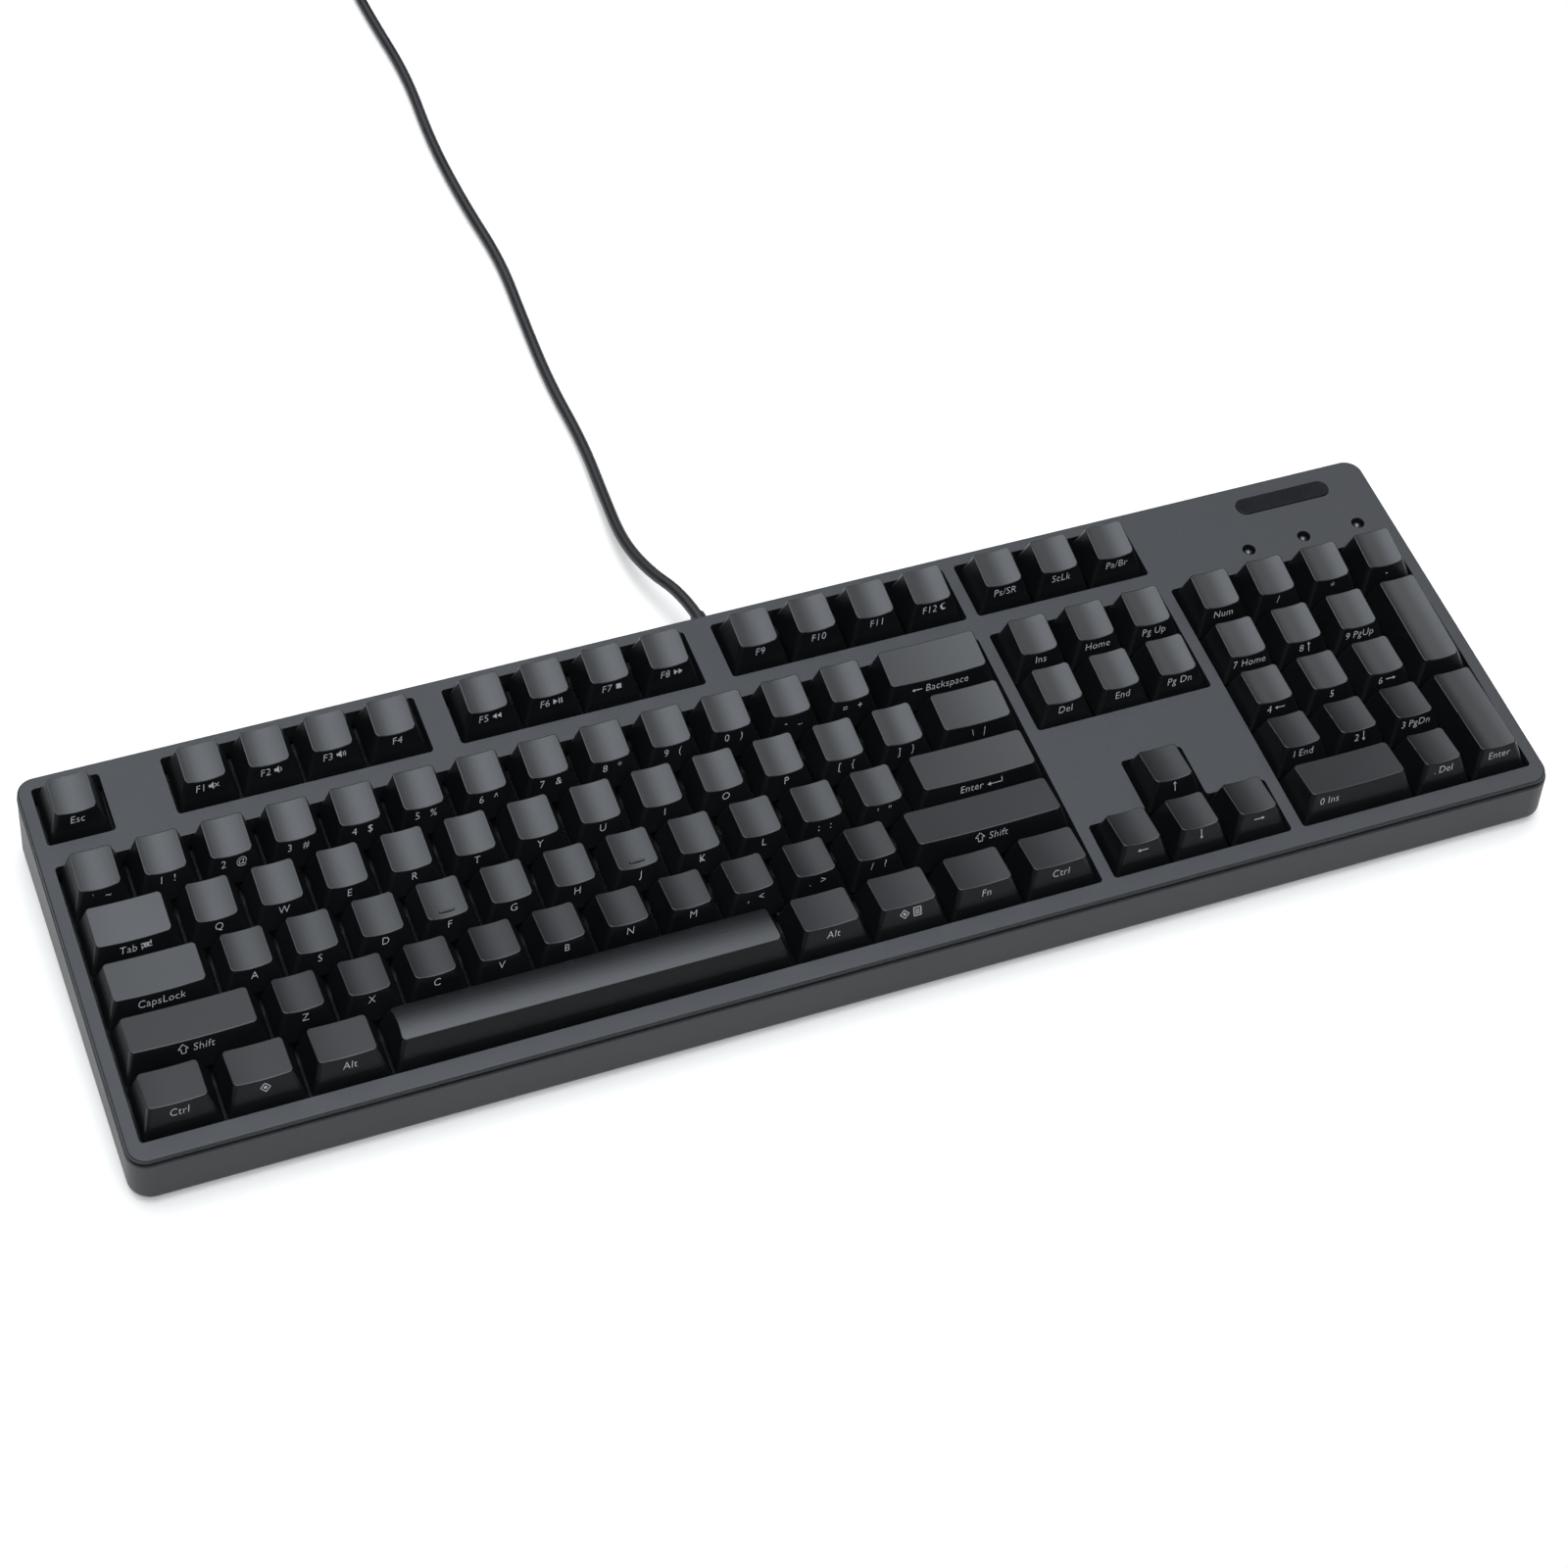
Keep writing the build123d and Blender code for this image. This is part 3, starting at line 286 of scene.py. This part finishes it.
# ---- legends -------------------------------------------------------------------------------
# Each stretch of keys: its row, its first unit, and its keys as name:width
LAYOUT = [
    ("function", 0.0, "escape"),
    ("function", 2.0, "f1 f2 f3 f4"),
    ("function", 6.5, "f5 f6 f7 f8"),
    ("function", 11.0, "f9 f10 f11 f12"),
    ("function", 15.25, "print_screen scroll_lock pause"),
    ("number", 0.0, "grave 1 2 3 4 5 6 7 8 9 0 minus equal backspace:2"),
    ("number", 15.25, "insert home page_up"),
    ("number", 18.5, "num_lock divide multiply subtract"),
    ("upper", 0.0, "tab:1.5 q w e r t y u i o p left_bracket right_bracket backslash:1.5"),
    ("upper", 15.25, "delete end page_down"),
    ("upper", 18.5, "pad_7 pad_8 pad_9"),
    ("lower", 21.5, "add"),
    ("home", 0.0, "caps_lock:1.75 a s d f g h j k l semicolon quote enter:2.25"),
    ("home", 18.5, "pad_4 pad_5 pad_6"),
    ("lower", 0.0, "left_shift:2.25 z x c v b n m comma period slash right_shift:2.75"),
    ("lower", 16.25, "up"),
    ("lower", 18.5, "pad_1 pad_2 pad_3"),
    ("bottom", 0.0, "left_ctrl:1.25 left_super:1.25 left_alt:1.25 space:6.25"),
    ("bottom", 10.0, "right_alt:1.25 menu:1.25 fn:1.25 right_ctrl:1.25"),
    ("bottom", 15.25, "left down right"),
    ("bottom", 18.5, "pad_0:2 pad_period pad_enter"),
]
BODIES = {
    "function_keys": [f"f{n}" for n in range(1, 13)],
    "number_keys": "grave 1 2 3 4 5 6 7 8 9 0 minus equal".split(),
    "punctuation_keys": ("left_bracket right_bracket backslash semicolon quote "
                         "comma period slash").split(),
    "modifier_keys": "caps_lock left_ctrl left_super left_alt right_alt menu fn right_ctrl".split(),
    "arrow_keys": "up left down right".split(),
    "navigation_keys": ("print_screen scroll_lock pause insert home page_up "
                        "delete end page_down").split(),
    "numpad_keys": ("num_lock divide multiply subtract pad_7 pad_8 pad_9 add pad_4 pad_5 pad_6 "
                    "pad_1 pad_2 pad_3 pad_enter pad_0 pad_period").split(),
}
ASIDE = {"pad_0": -10.0}         # legends that don't stand in the middle of their key
# What each key shows: words and symbols from left to right. A "_" in second place is a wider
# gap, and anywhere else it is the sign itself. Keys with one letter aren't listed.
LEGENDS = {
    "escape": "Esc",
    "f1": "F1 sym_quiet", "f2": "F2 sym_low", "f3": "F3 sym_loud", "f4": "F4",
    "f5": "F5 sym_back", "f6": "F6 sym_play", "f7": "F7 sym_stop", "f8": "F8 sym_next",
    "f9": "F9", "f10": "F10", "f11": "F11", "f12": "F12 sym_moon",
    "print_screen": "Ps/SR", "scroll_lock": "ScLk", "pause": "Pa/Br",
    "grave": "` _ ~", "1": "1 _ !", "2": "2 _ @", "3": "3 _ #", "4": "4 _ $", "5": "5 _ %",
    "6": "6 _ ^", "7": "7 _ &", "8": "8 _ *", "9": "9 _ (", "0": "0 _ )", "minus": "- _ _",
    "equal": "= _ +", "backspace": "sym_left Backspace",
    "tab": "Tab sym_tab", "left_bracket": "[ _ {", "right_bracket": "] _ }",
    "backslash": "\\ _ |", "caps_lock": "CapsLock", "semicolon": "; _ :", "quote": "' _ \"",
    "enter": "Enter sym_return", "left_shift": "sym_shift Shift", "right_shift": "sym_shift Shift",
    "comma": ", _ <", "period": ". _ >", "slash": "/ _ ?",
    "left_ctrl": "Ctrl", "left_super": "sym_diamond", "left_alt": "Alt", "right_alt": "Alt",
    "menu": "sym_diamond sym_list", "fn": "Fn", "right_ctrl": "Ctrl",
    "insert": "Ins", "home": "Home", "page_up": "Pg Up", "delete": "Del", "end": "End",
    "page_down": "Pg Dn", "up": "sym_up", "left": "sym_left", "down": "sym_down",
    "right": "sym_right", "num_lock": "Num", "divide": "/", "multiply": "*", "subtract": "-",
    "add": "+", "pad_enter": "Enter",
    "pad_7": "7 Home", "pad_8": "8 sym_up", "pad_9": "9 PgUp",
    "pad_4": "4 sym_left", "pad_5": "5", "pad_6": "6 sym_right",
    "pad_1": "1 End", "pad_2": "2 sym_down", "pad_3": "3 PgDn",
    "pad_0": "0 Ins", "pad_period": ". Del",
}
TEXT_SIZE = 3.25
TEXT_SHEAR = 0.18
TEXT_THINNING = -0.04      # moves each letter's outline inwards
TEXT_SPACING = 1.06
LETTER_MIDDLE = 0.36       # a capital's middle, as a share of the size
INK_THICK = 0.03
GAP = 1.2
WIDE_GAP = 2.0
STROKE = 0.17
SYMBOL_SIZE = 1.45
LEGEND_DROP = 3.0          # middle of the legends below the top edge, along the front face


def row_middle(row):
    index = list(ROWS).index(row)
    return -(index + 0.5) * UNIT - (FUNCTION_GAP if index else 0.0)


def key_places():
    places = {}
    for row, start, names in LAYOUT:
        for word in names.split():
            name, _, width = word.partition(":")
            width = float(width or 1)
            x = (start + width / 2 - FIELD_UNITS / 2) * UNIT
            places[name] = (row, x, row_middle(row), width)
            start += width
    return places


def body_of(name):
    for body, names in BODIES.items():
        if name in names:
            return body
    return f"key_{name}"


def prism(outline):
    """A thin plate of the given outline, as points and faces."""
    count = len(outline)
    points = [(x, y, z) for z in (0.0, INK_THICK) for x, y in outline]
    faces = [list(range(count))[::-1], list(range(count, 2 * count))]
    for i in range(count):
        j = (i + 1) % count
        faces.append([i, j, count + j, count + i])
    return points, faces


def line(*points, width=STROKE, closed=False):
    """A stroke of constant width along some points, as one plate per run."""
    plates = []
    ends = list(points) + ([points[0]] if closed else [])
    for (x0, y0), (x1, y1) in zip(ends, ends[1:]):
        length = math.hypot(x1 - x0, y1 - y0)
        ux, uy = (x1 - x0) / length * width / 2, (y1 - y0) / length * width / 2
        plates.append(prism([(x0 - ux + uy, y0 - uy - ux), (x1 + ux + uy, y1 + uy - ux),
                             (x1 + ux - uy, y1 + uy + ux), (x0 - ux - uy, y0 - uy + ux)]))
    return plates


def arrow(turn):
    """A thin arrow pointing along turn, in degrees from +X."""
    c, s = math.cos(math.radians(turn)), math.sin(math.radians(turn))

    def at(x, y):
        return x * c - y * s, x * s + y * c

    head = prism([at(1.1, 0), at(0.5, 0.36), at(0.5, -0.36)])
    return line(at(-1.1, 0), at(0.55, 0)) + [head]


def speaker(waves):
    shape = [prism([(-0.9, 0.3), (-0.9, -0.3), (-0.45, -0.3),
                    (0.1, -0.8), (0.1, 0.8), (-0.45, 0.3)])]
    if waves == 0:
        return shape + line((0.4, -0.35), (1.1, 0.35)) + line((0.4, 0.35), (1.1, -0.35))
    for wave in range(waves):
        x = 0.45 + 0.4 * wave
        shape += line((x, -0.35 - 0.1 * wave), (x + 0.15, 0), (x, 0.35 + 0.1 * wave), width=0.18)
    return shape


def triangle(x, way):
    return prism([(x - 0.4 * way, 0.6), (x - 0.4 * way, -0.6), (x + 0.5 * way, 0)])


def box_plate(x0, y0, x1, y1):
    return prism([(x0, y0), (x1, y0), (x1, y1), (x0, y1)])


def moon():
    outer = [(0.75 * math.cos(a), 0.75 * math.sin(a)) for a in
             [math.radians(60 + 240 * i / 12) for i in range(13)]]
    inner = [(0.3 + 0.62 * math.cos(a), 0.15 + 0.62 * math.sin(a)) for a in
             [math.radians(300 - 200 * i / 9 - 15) for i in range(10)]]
    return [prism(outer + inner)]


SYMBOLS = {
    "sym_quiet": speaker(0), "sym_low": speaker(1), "sym_loud": speaker(2),
    "sym_back": [triangle(-0.5, -1), triangle(0.5, -1)],
    "sym_next": [triangle(-0.5, 1), triangle(0.5, 1)],
    "sym_play": [triangle(-0.6, 1), box_plate(0.15, -0.6, 0.4, 0.6),
                 box_plate(0.7, -0.6, 0.95, 0.6)],
    "sym_stop": [box_plate(-0.55, -0.55, 0.55, 0.55)],
    "sym_moon": moon(),
    "sym_left": arrow(180), "sym_right": arrow(0), "sym_up": arrow(90), "sym_down": arrow(270),
    "sym_tab": (line((-1.0, 0.4), (0.8, 0.4)) + line((-0.8, -0.4), (1.0, -0.4))
                + line((0.95, 0.1), (0.95, 0.75)) + line((-0.95, -0.1), (-0.95, -0.75))
                + [triangle(0.3, 0.6), triangle(-0.3, -0.6)]),
    "sym_return": (line((1.6, 0.7), (1.6, -0.3), (-1.0, -0.3))
                   + [prism([(-1.7, -0.3), (-0.9, 0.15), (-0.9, -0.75)])]),
    "sym_shift": line((0, 1.1), (1.0, 0.05), (0.45, 0.05), (0.45, -0.9), (-0.45, -0.9),
                      (-0.45, 0.05), (-1.0, 0.05), closed=True, width=0.15),
    "sym_diamond": line((0, 0.95), (0.95, 0), (0, -0.95), (-0.95, 0), closed=True) +
                   [prism([(0, 0.4), (-0.4, 0), (0, -0.4), (0.4, 0)])],
    "sym_list": line((-0.75, -0.95), (0.75, -0.95), (0.75, 0.95), (-0.75, 0.95), closed=True,
                     width=0.2) + line((-0.35, 0.35), (0.35, 0.35), width=0.18)
                + line((-0.35, -0.05), (0.35, -0.05), width=0.18)
                + line((-0.35, -0.45), (0.35, -0.45), width=0.18),
}
WORDS = {}


def word_plates(text):
    """A word set in the plain built-in letter, slanted, as one plate with its own origin."""
    if text not in WORDS:
        curve = bpy.data.curves.new("word", "FONT")
        curve.body = text
        curve.size = TEXT_SIZE
        curve.shear = TEXT_SHEAR
        curve.extrude = INK_THICK / 2
        curve.offset = TEXT_THINNING
        curve.space_character = TEXT_SPACING
        curve.resolution_u = 3
        holder = bpy.data.objects.new("word", curve)
        bpy.context.scene.collection.objects.link(holder)
        bpy.context.view_layer.update()
        ready = holder.evaluated_get(bpy.context.evaluated_depsgraph_get())
        mesh = bpy.data.meshes.new_from_object(ready)
        points = [(v.co.x, v.co.y - LETTER_MIDDLE * TEXT_SIZE, v.co.z + INK_THICK / 2)
                  for v in mesh.vertices]
        faces = [list(p.vertices) for p in mesh.polygons]
        bpy.data.meshes.remove(mesh)
        bpy.data.objects.remove(holder)
        bpy.data.curves.remove(curve)
        WORDS[text] = [(points, faces)]
    return WORDS[text]


def legend_plates(text):
    """All plates of one key's legend, centred side to side."""
    plates, cursor = [], 0.0
    tokens = text.split()
    for index, token in enumerate(tokens):
        if token == "_" and index == 1:
            cursor += WIDE_GAP
            continue
        if token in SYMBOLS:
            parts = [([(x * SYMBOL_SIZE, y * SYMBOL_SIZE, z) for x, y, z in points], faces)
                     for points, faces in SYMBOLS[token]]
        else:
            parts = word_plates(token)
        xs = [p[0] for points, _ in parts for p in points]
        shift = cursor - min(xs)
        plates += [([(x + shift, y, z) for x, y, z in points], faces) for points, faces in parts]
        cursor += max(xs) - min(xs) + GAP
    middle = (cursor - GAP) / 2
    return [([(x - middle, y, z) for x, y, z in points], faces) for points, faces in plates]


def front_face(name):
    """Frame of a key's front face, in metres: X to the right, Y up the face, Z out of it."""
    row, x, y, _ = PLACES[name]
    height, top_y = ROWS[row]
    foot = Vector((x, y - CAP_BASE / 2, SKIRT))
    top = Vector((x, y + top_y, height))
    up = (top - foot).normalized()
    out = Vector((0, -up.z, up.y))
    origin = top - up * LEGEND_DROP + Vector((ASIDE.get(name, 0.0), 0, 0))
    turn = Matrix((Vector((1, 0, 0)), up, out)).transposed().to_4x4()
    return DECK @ Matrix.Translation(origin * MM) @ turn @ Matrix.Scale(MM, 4)


def add_legends():
    inks = {}
    for name in PLACES:
        text = LEGENDS.get(name, name.upper() if len(name) == 1 else None)
        if not text:
            continue
        points, faces = inks.setdefault(body_of(name), ([], []))
        matrix = front_face(name)
        for plate_points, plate_faces in legend_plates(text):
            start = len(points)
            points += [matrix @ Vector(p) for p in plate_points]
            faces += [[start + i for i in face] for face in plate_faces]
    for body, (points, faces) in inks.items():
        mesh = bpy.data.meshes.new(f"{body}_legends")
        mesh.from_pydata(points, [], faces)
        mesh.update()
        piece = bpy.data.objects.new(f"{body}_legends", mesh)
        bpy.context.scene.collection.objects.link(piece)
        paint(piece, INK)
        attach(piece, body)


PLACES = key_places()
add_legends()


# ---- floor and light -----------------------------------------------------------------------
# The floor stays small, so that the fronts of the caps mirror the dark beyond it
FLOOR_SIDE, FLOOR_FRONT, FLOOR_REAR = 0.42, -0.14, 0.62
FLOOR_COLOUR = (0.70, 0.68, 0.64)
FLOOR_ROUGHNESS = 0.8
FLOOR_GLOW = 0.25


def add_floor():
    mesh = bpy.data.meshes.new("floor")
    corners = [(-FLOOR_SIDE, FLOOR_FRONT, 0), (FLOOR_SIDE, FLOOR_FRONT, 0),
               (FLOOR_SIDE, FLOOR_REAR, 0), (-FLOOR_SIDE, FLOOR_REAR, 0)]
    mesh.from_pydata(corners, [], [(0, 1, 2, 3)])
    floor = bpy.data.objects.new("floor", mesh)
    bpy.context.scene.collection.objects.link(floor)
    material, _, _, shader = new_material("floor_white")
    shader.inputs["Base Color"].default_value = (*FLOOR_COLOUR, 1)
    shader.inputs["Roughness"].default_value = FLOOR_ROUGHNESS
    shader.inputs["Emission Color"].default_value = (1, 1, 1, 1)
    shader.inputs["Emission Strength"].default_value = FLOOR_GLOW
    paint(floor, material)


def add_softbox(name, place, aim, size, power):
    data = bpy.data.lights.new(name, "AREA")
    data.shape = "RECTANGLE"
    data.size, data.size_y = size
    data.energy = power
    light = bpy.data.objects.new(name, data)
    light.location = place
    light.rotation_euler = (Vector(aim) - Vector(place)).to_track_quat("-Z", "Y").to_euler()
    bpy.context.scene.collection.objects.link(light)


# Brightness of the studio's light tent: by the Z of the direction, times by its X, which runs
# from 0 on the left to 1 on the right. Below the floor it is nearly dark.
TENT = [(0.0, 0.01), (0.3, 0.03), (0.5, 0.10), (0.67, 0.24), (0.8, 0.50), (0.9, 0.85), (1.0, 1.05)]
SIDES = [(0.0, 0.12), (0.35, 0.55), (0.48, 0.88), (0.57, 1.0), (0.64, 0.72), (0.70, 0.36),
         (0.80, 0.11), (1.0, 0.03)]
TENT_PEAK = 5.6
TENT_COLOUR = (0.91, 0.965, 1.035)
SIDE_PLACE = (1.2, 0.7, 1.3)
SIDE_SIZE = (0.5, 0.5)
SIDE_POWER = 2


def math_node(nodes, links, operation, *values):
    node = nodes.new("ShaderNodeMath")
    node.operation = operation
    for socket, value in zip(node.inputs, values):
        if isinstance(value, (int, float)):
            socket.default_value = value
        else:
            links.new(value, socket)
    return node.outputs[0]


def ramp(nodes, links, value, stops):
    """Levels by value, straight between the stops."""
    node = nodes.new("ShaderNodeValToRGB")
    elements = node.color_ramp.elements
    while len(elements) < len(stops):
        elements.new(0.5)
    for element, (position, level) in zip(elements, stops):
        element.position = position
        element.color = (level, level, level, 1)
    links.new(value, node.inputs["Fac"])
    return node.outputs["Color"]


def add_world():
    world = bpy.data.worlds.new("World")
    world.use_nodes = True
    nodes, links = world.node_tree.nodes, world.node_tree.links
    lit = nodes["Background"]
    place = nodes.new("ShaderNodeTexCoord")
    parts = nodes.new("ShaderNodeSeparateXYZ")
    links.new(place.outputs["Generated"], parts.inputs[0])
    across = math_node(nodes, links, "MULTIPLY_ADD", parts.outputs["X"], 0.5, 0.5)
    level = math_node(nodes, links, "MULTIPLY", ramp(nodes, links, parts.outputs["Z"], TENT),
                      ramp(nodes, links, across, SIDES))
    links.new(math_node(nodes, links, "MULTIPLY", level, TENT_PEAK), lit.inputs["Strength"])
    lit.inputs["Color"].default_value = (*TENT_COLOUR, 1)
    plain = nodes.new("ShaderNodeBackground")
    plain.inputs["Color"].default_value = (1, 1, 1, 1)
    path = nodes.new("ShaderNodeLightPath")
    mix = nodes.new("ShaderNodeMixShader")
    links.new(path.outputs["Is Camera Ray"], mix.inputs["Fac"])
    links.new(lit.outputs[0], mix.inputs[1])
    links.new(plain.outputs[0], mix.inputs[2])
    links.new(mix.outputs[0], nodes["World Output"].inputs["Surface"])
    bpy.context.scene.world = world


add_floor()
add_world()
add_softbox("side", SIDE_PLACE, (0, 0, 0), SIDE_SIZE, SIDE_POWER)
bpy.context.scene.view_settings.view_transform = "Standard"
